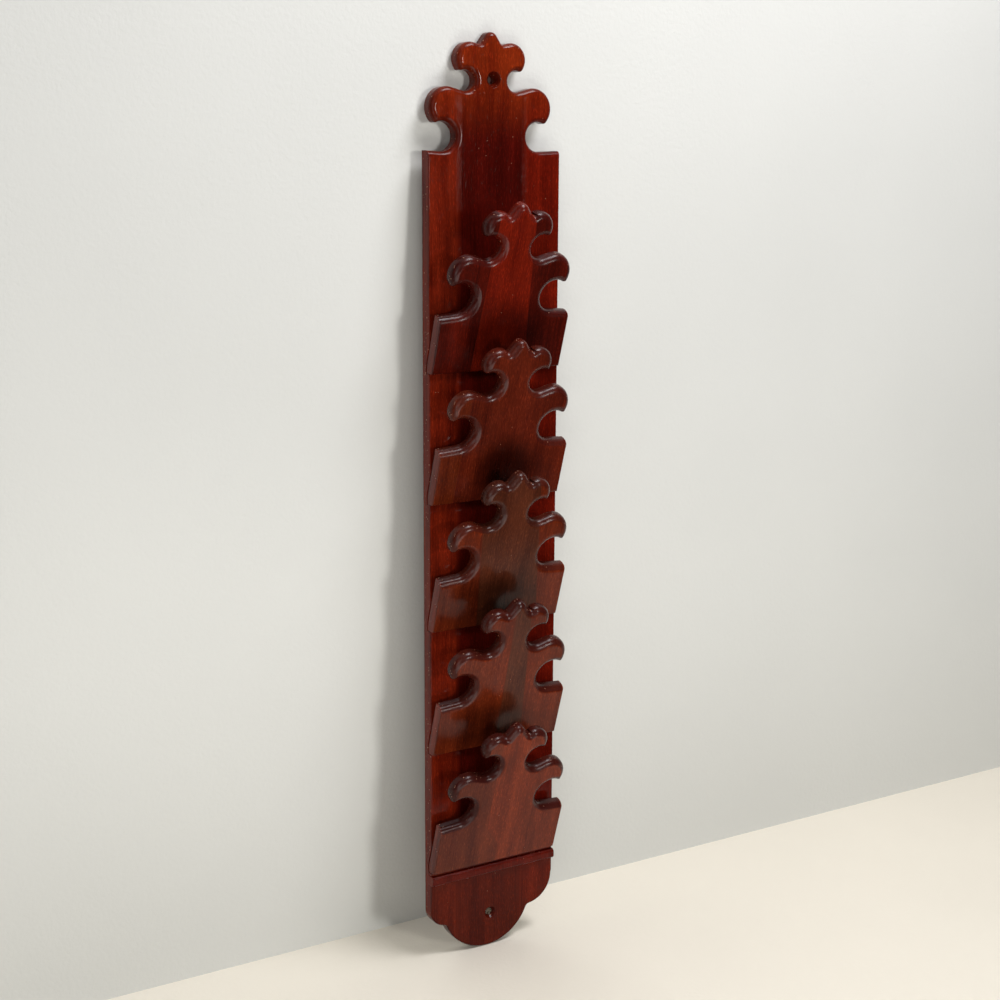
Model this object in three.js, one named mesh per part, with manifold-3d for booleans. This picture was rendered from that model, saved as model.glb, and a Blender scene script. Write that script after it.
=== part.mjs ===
// A tall wall rack: a backboard with five fretwork plates that lean forward out of it.
// Millimetres. X runs to the right, Y back towards the wall and Z up. The origin is the middle of
// the back of the board, so its back is the plane y = 0 and its front is at y = -thickness.

import * as THREE from 'three';
import { mergeVertices } from 'three/addons/utils/BufferGeometryUtils.js';
import Module from 'manifold-3d';

const wasm = await Module();
wasm.setup();

const { clamp, degToRad, euclideanModulo } = THREE.MathUtils;

// ---------------------------------------------------------------- driving dimensions

const TIERS = 5;
const PITCH = 123.2; // from the foot of one plate to the foot of the next
const TOP_FOOT_DROP = 307; // from the tip of the crest down to the foot of the top plate
const GAP = 0.3; // left between pieces that touch

const BOARD = {
  width: 140,
  thickness: 12.7,
  height: 891,
  arris: 1, // bevel along its front edges
};

// The right half of a fret pattern: x is measured out from the middle of the pattern and z up from
// its shoulders. The shapes were cut by hand, so the crest's differs a little from the plates', and
// the crest, the lobe and the holes lie a few millimetres left of the middle of the board.
const NOSE_RADIUS = 2.6; // of the drooping end of each arm

const CREST_MIDDLE = -3;
const CREST_FRET = {
  height: 105,
  tipRadius: 6.8,
  valley: { x: 12.3, z: 96.8, r: 2.5 },
  upperArm: { x: 21.5, z: 81, r: 15 },
  upperNotch: { x: 27, z: 62, r: 9.5 },
  lowerArm: { x: 46, z: 38, r: 18.5 },
  lowerNotch: { x: 51, z: 12.5, r: 13.4 },
};

const PLATE_FRET = {
  height: 107,
  tipRadius: 7.5,
  valley: { x: 13.6, z: 98.6, r: 3 },
  upperArm: { x: 21, z: 83.8, r: 15 },
  upperNotch: { x: 27.7, z: 65.3, r: 11.6 },
  lowerArm: { x: 45.7, z: 39.6, r: 18.4 },
  lowerNotch: { x: 51.2, z: 16.7, r: 15.1 },
};

const PLATE = {
  width: 139,
  thickness: 12,
  tilt: degToRad(18),
  shoulder: 55, // height of the shoulders above the foot, along the plate
  proud: 3.6, // how far the front of the foot stands out of the board
  edge: { inset: 1.8, depth: 2.8 }, // bevel round its front and its back
};

// The lower end is a round lobe between two round corners. rise is from its lowest point to where
// the corners meet it.
const LOBE = { x: -6, radius: 50, rise: 33, filletRadius: 5 };

const HOUSING_DEPTH = 6.35; // of the slots that hold the plates and the batten

const BATTEN = { width: 141, height: 10, proud: 4, cornerRadius: 3.2, drop: 2.8 };

const HANGING_HOLE = { x: -2, drop: 42, radius: 4.2, mouth: 7.2, sink: 4.5 };
const LOWER_HOLE = { x: -3, rise: 35, mouth: 5.8, sink: 3 };

// Slotted countersunk wood screws
const SCREW = { head: 3.5, shank: 1.75, sink: 2, point: 4, slotWidth: 0.9, slotDepth: 0.8, sides: 16 };
const SCREW_SET_IN = 0.3; // how far the heads at the back lie below it
const PLATE_SCREWS = { length: 15.5, x: 45, rise: 6.5, slotTurn: degToRad(20) };
const BATTEN_SCREWS = { length: 12.5, x: 50, slotTurn: degToRad(65) };
const LOWER_SCREW = { length: 9, slotTurn: degToRad(-40) };

const ARC_STEP = degToRad(18); // longest step along an arc
const CLOSEST = 0.01; // points of an outline nearer than this are one
const HOLE_SIDES = 32;
const OVERRUN = 20; // how far a cutting shape runs past what it cuts

// ---------------------------------------------------------------- worked out from them

const TOP = BOARD.height / 2;
const BOTTOM = -BOARD.height / 2;
const FRONT = -BOARD.thickness;
const SIDE = BOARD.width / 2;

/** The height of the foot of a plate, counted from the top one down. */
const footHeight = (tier) => TOP - TOP_FOOT_DROP - tier * PITCH;

const BATTEN_MIDDLE = footHeight(TIERS - 1) - BATTEN.drop - BATTEN.height / 2;

// ---------------------------------------------------------------- materials

const finish = (color, roughness, metalness) =>
  new THREE.MeshStandardMaterial({ color, roughness, metalness });

const boardFinish = finish(0x6b1f10, 0.35, 0);
const plateFinish = finish(0x5e2214, 0.3, 0);
const battenFinish = finish(0x641a10, 0.35, 0);
const screwFinish = finish(0x9a9186, 0.4, 1);

// ---------------------------------------------------------------- outlines

/** The points of an arc of a circle, from an angle and through a sweep. */
function arc(circle, start, sweep) {
  const steps = circle.r > 0 ? Math.ceil(Math.abs(sweep) / ARC_STEP) : 0;
  const points = [];
  for (let i = 0; i <= steps; i++) {
    const angle = start + (steps > 0 ? (sweep * i) / steps : 0);
    const x = circle.x + circle.r * Math.cos(angle);
    points.push(new THREE.Vector2(x, circle.z + circle.r * Math.sin(angle)));
  }
  return points;
}

/**
 * An outline like a belt: straight from circle to circle, and round each in turn. turn is 1 round a
 * convex stretch, which is taken clockwise, and -1 round a hollow. A circle of radius 0 is a corner.
 */
function belt(circles, startAngle) {
  const points = [];
  let angle = startAngle;
  circles.forEach((circle, i) => {
    const next = circles[i + 1];
    if (!next) {
      points.push(...arc(circle, angle, 0));
      return;
    }
    const across = { x: next.x - circle.x, z: next.z - circle.z };
    const spread = (circle.turn * circle.r - next.turn * next.r) / Math.hypot(across.x, across.z);
    const normal = Math.atan2(across.z, across.x) + Math.acos(clamp(spread, -1, 1));
    const facing = (turn) => (turn > 0 ? normal : normal + Math.PI);
    const sweep = euclideanModulo(circle.turn * (angle - facing(circle.turn)), 2 * Math.PI);
    points.push(...arc(circle, angle, -circle.turn * sweep));
    angle = facing(next.turn);
  });
  return points.filter((p, i) => i === 0 || p.distanceTo(points[i - 1]) > CLOSEST);
}

/** The point at distance fromA from a and fromB from b, on the right of the way from a to b. */
function apex(a, fromA, b, fromB) {
  const dx = b.x - a.x;
  const dz = b.z - a.z;
  const distance = Math.hypot(dx, dz);
  const along = (fromA ** 2 - fromB ** 2 + distance ** 2) / (2 * distance);
  const aside = Math.sqrt(fromA ** 2 - along ** 2);
  const x = a.x + (along * dx + aside * dz) / distance;
  return { x, z: a.z + (along * dz - aside * dx) / distance };
}

/** The small round at the end of an arm, inside the arm's circle and outside the notch's below. */
function nose(arm, notch) {
  const r = NOSE_RADIUS;
  return { ...apex(notch, notch.r + r, arm, arm.r - r), r, turn: 1 };
}

/** The right half of a fret pattern, from its tip down to its shoulder, which reaches out to reach. */
function fretHalf(fret, reach) {
  const circles = [
    { x: 0, z: fret.height - fret.tipRadius, r: fret.tipRadius, turn: 1 },
    { ...fret.valley, turn: -1 },
    { ...fret.upperArm, turn: 1 },
    nose(fret.upperArm, fret.upperNotch),
    { ...fret.upperNotch, turn: -1 },
    { ...fret.lowerArm, turn: 1 },
    nose(fret.lowerArm, fret.lowerNotch),
    { ...fret.lowerNotch, turn: -1 },
    { x: reach, z: 0, r: 0, turn: 1 },
  ];
  return belt(circles, Math.PI / 2);
}

/** Points moved along x and z. */
const moved = (points, x, z) => points.map((p) => new THREE.Vector2(p.x + x, p.y + z));

/** Points mirrored from right to left, in the order that carries an outline on. */
const mirrored = (points) => points.map((p) => new THREE.Vector2(-p.x, p.y)).reverse();

/** A plate's outline, its foot run down past z = 0 so that it can be trimmed there. */
function plateOutline() {
  const half = moved(fretHalf(PLATE_FRET, PLATE.width / 2), 0, PLATE.shoulder);
  half.push(new THREE.Vector2(PLATE.width / 2, -OVERRUN));
  return [...half, ...mirrored(half.slice(1))];
}

/** The board's lower end, from its right side round to its left. */
function lowerEnd() {
  const lobe = { x: LOBE.x, z: BOTTOM + LOBE.radius, r: LOBE.radius, turn: 1 };
  const halfWidth = Math.sqrt(LOBE.radius ** 2 - (LOBE.radius - LOBE.rise) ** 2);
  const corner = (side) => {
    const r = SIDE - side * lobe.x - halfWidth;
    return { x: side * (SIDE - r), z: BOTTOM + LOBE.rise + r, r, turn: 1 };
  };
  const fillet = (a, b) => {
    const r = LOBE.filletRadius;
    return { ...apex(b, b.r + r, a, a.r + r), r, turn: -1 };
  };
  const right = corner(1);
  const left = corner(-1);
  const end = { x: -SIDE, z: 0, r: 0, turn: 1 };
  return belt([right, fillet(right, lobe), lobe, fillet(lobe, left), left, end], 0);
}

/** The backboard's outline, with its crest and its lobe. */
function boardOutline() {
  const shoulder = TOP - CREST_FRET.height;
  const right = moved(fretHalf(CREST_FRET, SIDE - CREST_MIDDLE), CREST_MIDDLE, shoulder);
  const leftHalf = mirrored(fretHalf(CREST_FRET, SIDE + CREST_MIDDLE).slice(1));
  return [...right, ...lowerEnd(), ...moved(leftHalf, CREST_MIDDLE, shoulder)];
}

// ---------------------------------------------------------------- solids

/** A closed geometry as a solid that can be joined and cut. */
function solid(geometry) {
  const bare = geometry.clone();
  bare.deleteAttribute('normal');
  bare.deleteAttribute('uv');
  const merged = mergeVertices(bare, 1e-4);
  const vertProperties = merged.attributes.position.array;
  const triVerts = new Uint32Array(merged.index.array);
  return new wasm.Manifold(new wasm.Mesh({ numProp: 3, vertProperties, triVerts }));
}

/** A solid back as a geometry with flat faces. */
function faceted(body) {
  const { vertProperties, triVerts } = body.getMesh();
  const geometry = new THREE.BufferGeometry();
  geometry.setAttribute('position', new THREE.BufferAttribute(vertProperties, 3));
  geometry.setIndex(new THREE.BufferAttribute(triVerts, 1));
  const flat = geometry.toNonIndexed();
  flat.computeVertexNormals();
  return flat;
}

/** An outline in x and z made solid from y = front to y = back, with bevelled edges. */
function slab(points, front, back, inset, depth) {
  const geometry = new THREE.ExtrudeGeometry(new THREE.Shape(points), {
    depth: back - front - 2 * depth,
    bevelSize: inset,
    bevelOffset: -inset,
    bevelThickness: depth,
    bevelSegments: 1,
  });
  geometry.rotateX(Math.PI / 2);
  geometry.translate(0, back - depth, 0);
  return geometry;
}

/** A section in y and z made solid along x, for a width centred on x = 0. */
function bar(section, width) {
  const geometry = new THREE.ExtrudeGeometry(new THREE.Shape(section), {
    depth: width,
    bevelEnabled: false,
  });
  geometry.translate(0, 0, -width / 2);
  const toX = new THREE.Vector3(1, 0, 0);
  const toY = new THREE.Vector3(0, 1, 0);
  const toZ = new THREE.Vector3(0, 0, 1);
  geometry.applyMatrix4(new THREE.Matrix4().makeBasis(toY, toZ, toX));
  return geometry;
}

/** The same, for a rectangle from (y0, z0) to (y1, z1). */
function block(y0, z0, y1, z1, width) {
  const corners = [[y0, z0], [y1, z0], [y1, z1], [y0, z1]];
  return bar(corners.map(([y, z]) => new THREE.Vector2(y, z)), width);
}

/** A profile of [radius, y] pairs, in order of rising y, turned about the y axis. */
function turned(profile, sides) {
  return new THREE.LatheGeometry(profile.map(([r, y]) => new THREE.Vector2(r, y)), sides);
}

// ---------------------------------------------------------------- screws

/** A screw's profile, its head's top at y = 0 and its point down y, drawn larger all over by grow. */
function screwProfile(length, grow) {
  return [
    [0, -length - grow],
    [SCREW.shank + grow, SCREW.point - length - grow],
    [SCREW.shank + grow, -SCREW.sink - grow],
    [SCREW.head + grow, -grow],
  ];
}

function screwGeometry({ length, slotTurn }) {
  const profile = [...screwProfile(length, 0), [0, 0]];
  const slot = new THREE.BoxGeometry(3 * SCREW.head, 2 * SCREW.slotDepth, SCREW.slotWidth);
  slot.rotateY(slotTurn);
  return faceted(solid(turned(profile, SCREW.sides)).subtract(solid(slot)));
}

/** The space for a screw whose head's top is at y, and the way in to it, as a cutting shape. */
function screwSpace({ length }, x, y, z) {
  const profile = [...screwProfile(length, GAP), [SCREW.head + GAP, OVERRUN], [0, OVERRUN]];
  const geometry = turned(profile, SCREW.sides);
  geometry.translate(x, y, z);
  return solid(geometry);
}

const bothSides = (x) => [x, -x];

// ---------------------------------------------------------------- plates

/** The section of the slot that a plate's foot fills, with y = 0 on the board's front. */
function housingSection() {
  const backAtFloor = (PLATE.thickness + GAP) / Math.cos(PLATE.tilt) - PLATE.proud;
  const backHeight = (y) => (backAtFloor - y) / Math.tan(PLATE.tilt);
  return [
    new THREE.Vector2(-OVERRUN, 0),
    new THREE.Vector2(HOUSING_DEPTH, 0),
    new THREE.Vector2(HOUSING_DEPTH, backHeight(HOUSING_DEPTH)),
    new THREE.Vector2(-OVERRUN, backHeight(-OVERRUN)),
  ];
}

/** A plate, with y = 0 on the board's front and z = 0 on the floor of its housing. */
function plateGeometry() {
  const { inset, depth } = PLATE.edge;
  const leaning = slab(plateOutline(), 0, PLATE.thickness, inset, depth);
  leaning.rotateX(PLATE.tilt);
  leaning.translate(0, -PLATE.proud, 0);
  const far = BOARD.height;
  const kept = block(-far, GAP, HOUSING_DEPTH - GAP, far, BOARD.width);
  let body = solid(leaning).intersect(solid(kept));
  for (const x of bothSides(PLATE_SCREWS.x)) {
    const space = screwSpace(PLATE_SCREWS, x, BOARD.thickness - SCREW_SET_IN, PLATE_SCREWS.rise);
    body = body.subtract(space);
  }
  return faceted(body);
}

// ---------------------------------------------------------------- batten

/** The batten's section, with y = 0 on the board's front and z = 0 at its middle. */
function battenSection() {
  const r = BATTEN.cornerRadius;
  const front = -BATTEN.proud;
  const back = HOUSING_DEPTH - GAP;
  const half = BATTEN.height / 2;
  const corner = (z) => ({ x: front + r, z, r });
  return [
    new THREE.Vector2(back, half),
    new THREE.Vector2(back, -half),
    ...arc(corner(r - half), -Math.PI / 2, -Math.PI / 2),
    ...arc(corner(half - r), Math.PI, -Math.PI / 2),
  ];
}

function battenGeometry() {
  let body = solid(bar(battenSection().reverse(), BATTEN.width));
  for (const x of bothSides(BATTEN_SCREWS.x)) {
    body = body.subtract(screwSpace(BATTEN_SCREWS, x, BOARD.thickness - SCREW_SET_IN, 0));
  }
  return faceted(body);
}

// ---------------------------------------------------------------- backboard

/** Everything that is cut out of the board for a plate and its screws. */
function plateSpace(foot) {
  const slot = bar(housingSection(), BOARD.width + 2 * OVERRUN);
  slot.translate(0, FRONT, foot);
  let space = solid(slot);
  for (const x of bothSides(PLATE_SCREWS.x)) {
    space = space.add(screwSpace(PLATE_SCREWS, x, -SCREW_SET_IN, foot + PLATE_SCREWS.rise));
  }
  return space;
}

/** The groove for the batten, and the holes for its screws. */
function battenSpace() {
  const half = BATTEN.height / 2 + GAP;
  const groove = block(-OVERRUN, -half, HOUSING_DEPTH, half, BOARD.width + 2 * OVERRUN);
  groove.translate(0, FRONT, BATTEN_MIDDLE);
  let space = solid(groove);
  for (const x of bothSides(BATTEN_SCREWS.x)) {
    space = space.add(screwSpace(BATTEN_SCREWS, x, -SCREW_SET_IN, BATTEN_MIDDLE));
  }
  return space;
}

/** A hole through the board, turned from a profile whose y = 0 is on the board's front. */
function hole(profile, x, z) {
  const mouth = [[0, -OVERRUN], [profile[0][0], -OVERRUN]];
  const last = profile.at(-1)[0];
  const exit = [[last, BOARD.thickness + OVERRUN], [0, BOARD.thickness + OVERRUN]];
  const geometry = turned([...mouth, ...profile, ...exit], HOLE_SIDES);
  geometry.translate(x, FRONT, z);
  return solid(geometry);
}

/** The hanging hole in the crest, countersunk from the front. */
function hangingHole() {
  const { x, drop, radius, mouth, sink } = HANGING_HOLE;
  return hole([[mouth, 0], [radius, sink]], x, TOP - drop);
}

/** The hole in the lobe, with a wide countersink in which the head of its screw lies sunk. */
function lowerHole() {
  const head = SCREW.head + GAP;
  const shank = SCREW.shank + GAP;
  const { x, rise, mouth, sink } = LOWER_HOLE;
  const seat = sink + SCREW.sink + GAP;
  return hole([[mouth, 0], [head, sink], [head, sink + GAP], [shank, seat]], x, BOTTOM + rise);
}

/** The board, with its front edges bevelled and its back edges sharp. */
function boardGeometry() {
  const { arris } = BOARD;
  const blank = slab(boardOutline(), FRONT, OVERRUN, arris, arris);
  const room = BOARD.height;
  let body = solid(blank).intersect(solid(block(-room, -room, 0, room, room)));
  for (let tier = 0; tier < TIERS; tier++) {
    body = body.subtract(plateSpace(footHeight(tier)));
  }
  return faceted(body.subtract(battenSpace()).subtract(hangingHole()).subtract(lowerHole()));
}

// ---------------------------------------------------------------- the rack

function named(name, geometry, material, x, y, z) {
  const mesh = new THREE.Mesh(geometry, material);
  mesh.name = name;
  mesh.position.set(x, y, z);
  return mesh;
}

/** A pair of screws from the back, at either side of the middle. */
function screwPair(name, screws, z) {
  const pair = new THREE.Group();
  const geometry = screwGeometry(screws);
  for (const x of bothSides(screws.x)) {
    const side = x > 0 ? 'right' : 'left';
    pair.add(named(`${name}_screw_${side}`, geometry, screwFinish, x, -SCREW_SET_IN, z));
  }
  return pair;
}

/** The screw in the lobe, its head sunk in the front of the board. */
function lowerScrew() {
  const { x, rise, sink } = LOWER_HOLE;
  const geometry = screwGeometry(LOWER_SCREW);
  const screw = named('lower_screw', geometry, screwFinish, x, FRONT + sink, BOTTOM + rise);
  screw.rotation.z = Math.PI;
  return screw;
}

const rack = new THREE.Group();
rack.add(named('backboard', boardGeometry(), boardFinish, 0, 0, 0));

const onePlate = plateGeometry();
for (let tier = 0; tier < TIERS; tier++) {
  const name = `plate_${tier + 1}`;
  const foot = footHeight(tier);
  rack.add(named(name, onePlate, plateFinish, 0, FRONT, foot));
  rack.add(screwPair(name, PLATE_SCREWS, foot + PLATE_SCREWS.rise));
}

rack.add(named('batten', battenGeometry(), battenFinish, 0, FRONT, BATTEN_MIDDLE));
rack.add(screwPair('batten', BATTEN_SCREWS, BATTEN_MIDDLE));
rack.add(lowerScrew());

export default rack;
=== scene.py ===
"""The looks of a wall mug rack in lacquered hardwood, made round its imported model.

Metres, in the model's own frame: X to the right, Y back to the wall, Z up. The outlines are drawn in
millimetres and scaled as they become meshes.
"""

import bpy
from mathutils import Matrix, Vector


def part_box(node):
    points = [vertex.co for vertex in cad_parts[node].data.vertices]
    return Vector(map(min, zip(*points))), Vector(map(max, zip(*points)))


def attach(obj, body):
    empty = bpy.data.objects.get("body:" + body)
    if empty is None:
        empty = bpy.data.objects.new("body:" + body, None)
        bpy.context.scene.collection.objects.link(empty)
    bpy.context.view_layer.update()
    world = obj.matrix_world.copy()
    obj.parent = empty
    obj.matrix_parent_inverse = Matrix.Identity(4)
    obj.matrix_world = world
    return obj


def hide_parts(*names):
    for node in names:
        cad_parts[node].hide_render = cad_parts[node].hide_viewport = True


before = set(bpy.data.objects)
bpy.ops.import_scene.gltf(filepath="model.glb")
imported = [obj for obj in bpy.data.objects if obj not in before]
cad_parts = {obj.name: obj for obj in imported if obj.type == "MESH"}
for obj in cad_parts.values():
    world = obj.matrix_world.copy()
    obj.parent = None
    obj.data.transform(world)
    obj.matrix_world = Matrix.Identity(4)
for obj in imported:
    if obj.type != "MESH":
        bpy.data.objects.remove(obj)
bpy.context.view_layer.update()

import math

import bmesh
import bpy
import numpy as np
from mathutils import Matrix, Vector
from mathutils.geometry import delaunay_2d_cdt

MM = 0.001
BODY = "root"

# ------------------------------------------------------------------ places, in mm, from the model

board_low, board_high = [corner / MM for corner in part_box("backboard")]
FRONT = board_low.y
SIDE = board_high.x
TOP = board_high.z
BOTTOM = board_low.z
THICKNESS = board_high.y - board_low.y

GAP = 0.3
TIERS = 5
PLATES = [f"plate_{tier + 1}" for tier in range(TIERS)]
FEET = [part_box(name)[0].z / MM - GAP for name in PLATES]
PLATE_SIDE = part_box(PLATES[0])[1].x / MM
batten_low, batten_high = [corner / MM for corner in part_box("batten")]
BATTEN_MIDDLE = (batten_low.z + batten_high.z) / 2

# ------------------------------------------------------------------ shapes, in mm

TILT = math.radians(18)  # of the plates, from upright
PLATE_THICKNESS = 12
PLATE_SHOULDER = 55
PROUD = 3.6  # of the front of a plate's foot
HOUSING_DEPTH = 6.35

NOSE_RADIUS = 2.6

# Each circle is (x, z, radius): x out from the middle of the pattern, z up from its shoulders.
CREST_MIDDLE = -3
CREST_FRET = {
    "height": 105,
    "tip": 6.8,
    "valley": (12.3, 96.8, 2.5),
    "arms": [(21.5, 81, 15), (46, 38, 18.5)],
    "notches": [(27, 62, 9.5), (51, 12.5, 13.4)],
}
PLATE_FRET = {
    "height": 107,
    "tip": 7.5,
    "valley": (13.6, 98.6, 3),
    "arms": [(21, 83.8, 15), (45.7, 39.6, 18.4)],
    "notches": [(27.7, 65.3, 11.6), (51.2, 16.7, 15.1)],
}
LOBE_MIDDLE = -6
LOBE_RADIUS = 50
LOBE_RISE = 33
LOBE_FILLET = 5

CREST_ROUND = 5.3  # radius of the round along the front of the crest
PLATE_ROUND = 7  # of the one along the front of a plate
PLATE_BACK_ROUND = 1.6
END_ROUND = 2.2  # of the one along the board's lower end
ARRIS = 0.9  # of the softened straight edges

# ------------------------------------------------------------------ fineness of the meshes, in mm

ARC_STEP = 0.9  # along an arc
LONGEST_STEP = 4.0  # along a straight stretch
RING_ANGLES = [math.radians(a) for a in (12, 24, 36, 48, 60, 72, 82, 90)]
FLAT_RING = 0.6  # how far past a rounded edge the flat face has its first points
RING_SLACK = 0.03  # how much too near its outline a point of a ring may lie
CROWDED = 0.5  # nearer than this, points of a ring are left out
LATTICE = 0.35  # side of the small squares that keep one inner point each
CLEAR = 0.08  # nearer than this to the outline, inner points are left out
MEETING = 0.05  # thinner than this at its outline, a slab comes to an edge
DOUBLED = 0.02  # nearer than this, two points of an outline are one
MERGED = 1e-4  # nearer than this, two corners of a mesh are one
NO_TURN = 1e-6  # a sweep that stops this short of a full turn is none
SHARP = math.radians(38)  # edges that turn further than this stay crisp
OVERRUN = 5  # how far a cutting shape runs past what it cuts

# ------------------------------------------------------------------ fittings, in mm

BATTEN_ROUND = 3.2  # radius of the two long front corners
BATTEN_END = 0.6  # of its softened ends
CORNER_POINTS = 9
END_ANGLES = np.radians([0, 22, 45, 68, 90])

# Slotted countersunk wood screws
HEAD = 3.5
SINK = 2
LAND = 0.35  # thickness of the head's rim
RIM = (0.15, 0.12)  # the rim's bevel: in from the side, and down from the top
SHANK = 1.75
THREAD_DEPTH = 0.4
THREAD_PITCH = 1.3
THREAD_ROWS = 6  # rows of points to a turn of the thread
POINT = 4
SLOT_WIDTH = 0.9
SLOT_DEPTH = 0.8
SCREW_SIDES = 28
SET_IN = 0.3  # how far the heads at the back lie below it

# x is out to either side of the middle; turn is that of the slot
PLATE_SCREWS = {"length": 15.5, "x": 45, "rise": 6.5, "turn": 20}
BATTEN_SCREWS = {"length": 12.5, "x": 50, "turn": 65}
LOWER_SCREW = {"length": 9, "turn": -40}

HANGING_HOLE = {"x": -2, "drop": 42, "radius": 4.2, "mouth": 7.2, "sink": 4.5}
LOWER_HOLE = {"x": -3, "rise": 35, "mouth": 5.8, "sink": 3}
HOLE_EASE = 0.5  # radius of the softened rim of a hole
HOLE_SIDES = 64


# ------------------------------------------------------------------ outlines

def arc(circle, start, sweep):
    """Points round a circle (x, z, radius, turn) from an angle, through a sweep."""
    x, z, radius, _ = circle
    steps = math.ceil(abs(sweep) * radius / ARC_STEP) if radius else 0
    angles = [start + sweep * i / max(steps, 1) for i in range(steps + 1)]
    return [(x + radius * math.cos(a), z + radius * math.sin(a)) for a in angles]


def belt(circles, angle):
    """An outline like a belt: straight from circle to circle, and round each in turn.

    A turn of 1 is a convex stretch, taken clockwise, and -1 a hollow. Radius 0 is a corner.
    """
    points = []
    for circle, following in zip(circles, circles[1:]):
        dx, dz = following[0] - circle[0], following[1] - circle[1]
        spread = (circle[3] * circle[2] - following[3] * following[2]) / math.hypot(dx, dz)
        normal = math.atan2(dz, dx) + math.acos(max(-1, min(1, spread)))
        leave = normal if circle[3] > 0 else normal + math.pi
        sweep = (circle[3] * (angle - leave)) % (2 * math.pi)
        if sweep > 2 * math.pi - NO_TURN:
            sweep = 0
        points += arc(circle, angle, -circle[3] * sweep)
        angle = normal if following[3] > 0 else normal + math.pi
    return points + arc(circles[-1], angle, 0)


def apex(a, from_a, b, from_b):
    """The point at those distances from a and from b, on the right of the way from a to b."""
    dx, dz = b[0] - a[0], b[1] - a[1]
    distance = math.hypot(dx, dz)
    along = (from_a**2 - from_b**2 + distance**2) / (2 * distance)
    aside = math.sqrt(from_a**2 - along**2)
    x = a[0] + (along * dx + aside * dz) / distance
    return x, a[1] + (along * dz - aside * dx) / distance


def fret_half(fret, reach):
    """The right half of a fret pattern, from its tip to the end of its shoulder at x = reach."""
    circles = [(0, fret["height"] - fret["tip"], fret["tip"], 1), (*fret["valley"], -1)]
    for arm, notch in zip(fret["arms"], fret["notches"]):
        nose = apex(notch, notch[2] + NOSE_RADIUS, arm, arm[2] - NOSE_RADIUS)
        circles += [(*arm, 1), (*nose, NOSE_RADIUS, 1), (*notch, -1)]
    return belt([*circles, (reach, 0, 0, 1)], math.pi / 2)


def fret_curve(fret, middle, left, right, shoulder):
    """A whole fret pattern from left to right, its shoulders ending at x = left and x = right."""
    right_half = fret_half(fret, right - middle)
    left_half = [(-x, z) for x, z in fret_half(fret, middle - left)]
    joined = left_half[:0:-1] + right_half
    return stepped([(x + middle, z + shoulder) for x, z in joined])


def run_on(curve, by=20):
    """The same curve with its two ends run straight on."""
    start, end = curve[0] - curve[1], curve[-1] - curve[-2]
    first = curve[0] + by * start / np.hypot(*start)
    last = curve[-1] + by * end / np.hypot(*end)
    return stepped([first, *curve, last])


def stepped(points):
    """The same outline with its long straight stretches divided, and no doubled points."""
    result = [np.array(points[0], float)]
    for point in np.array(points[1:], float):
        gap = np.hypot(*(point - result[-1]))
        if gap < DOUBLED:
            continue
        steps = math.ceil(gap / LONGEST_STEP)
        start = result[-1]
        result += [start + (point - start) * i / steps for i in range(1, steps + 1)]
    return np.array(result)


def lower_end():
    """The board's lower end: a lobe between two round corners, from the right side to the left."""
    corner_z = BOTTOM + LOBE_RISE
    half = math.sqrt(LOBE_RADIUS**2 - (LOBE_RADIUS - LOBE_RISE) ** 2)
    lobe = (LOBE_MIDDLE, BOTTOM + LOBE_RADIUS, LOBE_RADIUS, 1)
    right_r = SIDE - LOBE_MIDDLE - half
    left_r = SIDE + LOBE_MIDDLE - half
    right = (SIDE - right_r, corner_z + right_r, right_r, 1)
    left = (left_r - SIDE, corner_z + left_r, left_r, 1)

    def fillet(a, b):
        centre = apex(b, b[2] + LOBE_FILLET, a, a[2] + LOBE_FILLET)
        return (*centre, LOBE_FILLET, -1)

    end = (-SIDE, left[1] + 1, 0, 1)
    return stepped(belt([right, fillet(right, lobe), lobe, fillet(lobe, left), left, end], 0))


# ------------------------------------------------------------------ rounded slabs

def distances(points, curve):
    """How far each point is from a curve."""
    a, b = curve[:-1], curve[1:]
    along = b - a
    square = (along**2).sum(1)
    nearest = []
    for chunk in np.array_split(points, max(1, len(points) // 500)):
        offset = chunk[:, None] - a
        t = np.clip((offset * along).sum(2) / square, 0, 1)
        nearest.append(np.hypot(*(offset - t[:, :, None] * along).transpose(2, 0, 1)).min(1))
    return np.concatenate(nearest)


def rounded(distance, radius):
    """How far below its face a rounded edge lies, at a distance in from the outline."""
    inner = np.clip(radius - distance, 0, radius)
    return radius - np.sqrt(radius**2 - inner**2)


def ring_distances(radius):
    """The distances in from the outline where an edge rounded to that radius needs points."""
    return [radius * (1 - math.cos(a)) for a in RING_ANGLES]


def arris_distances():
    """The same for a softened straight edge, which needs fewer, and where the flat face starts."""
    return [*ring_distances(ARRIS)[1::2], ARRIS + FLAT_RING]


def rings(curve, radius):
    """Points inside a clockwise curve, at the distances where its rounded edge needs them."""
    tangent = np.gradient(curve, axis=0)
    inward = np.stack([tangent[:, 1], -tangent[:, 0]], 1)
    inward /= np.linalg.norm(inward, axis=1)[:, None]
    found = []
    for distance in [*ring_distances(radius), radius + FLAT_RING]:
        points = curve + distance * inward
        points = points[distances(points, curve) > distance - RING_SLACK]
        found.append(thinned(points))
    return np.concatenate(found)


def thinned(points):
    """Leaves out points that crowd the one before them."""
    kept = [points[0]]
    for point in points[1:]:
        if np.hypot(*(point - kept[-1])) > CROWDED:
            kept.append(point)
    return np.array(kept)


def spread_out(points):
    """Leaves out all but one of the points in each small square."""
    _, first = np.unique(np.round(points / LATTICE), axis=0, return_index=True)
    return points[np.sort(first)]


def side_lattice(x, zs):
    """Points along the two upright sides at x and -x, where their soft edges need them."""
    return np.array([(side * (x - d), z) for d in arris_distances() for side in (-1, 1) for z in zs])


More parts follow.
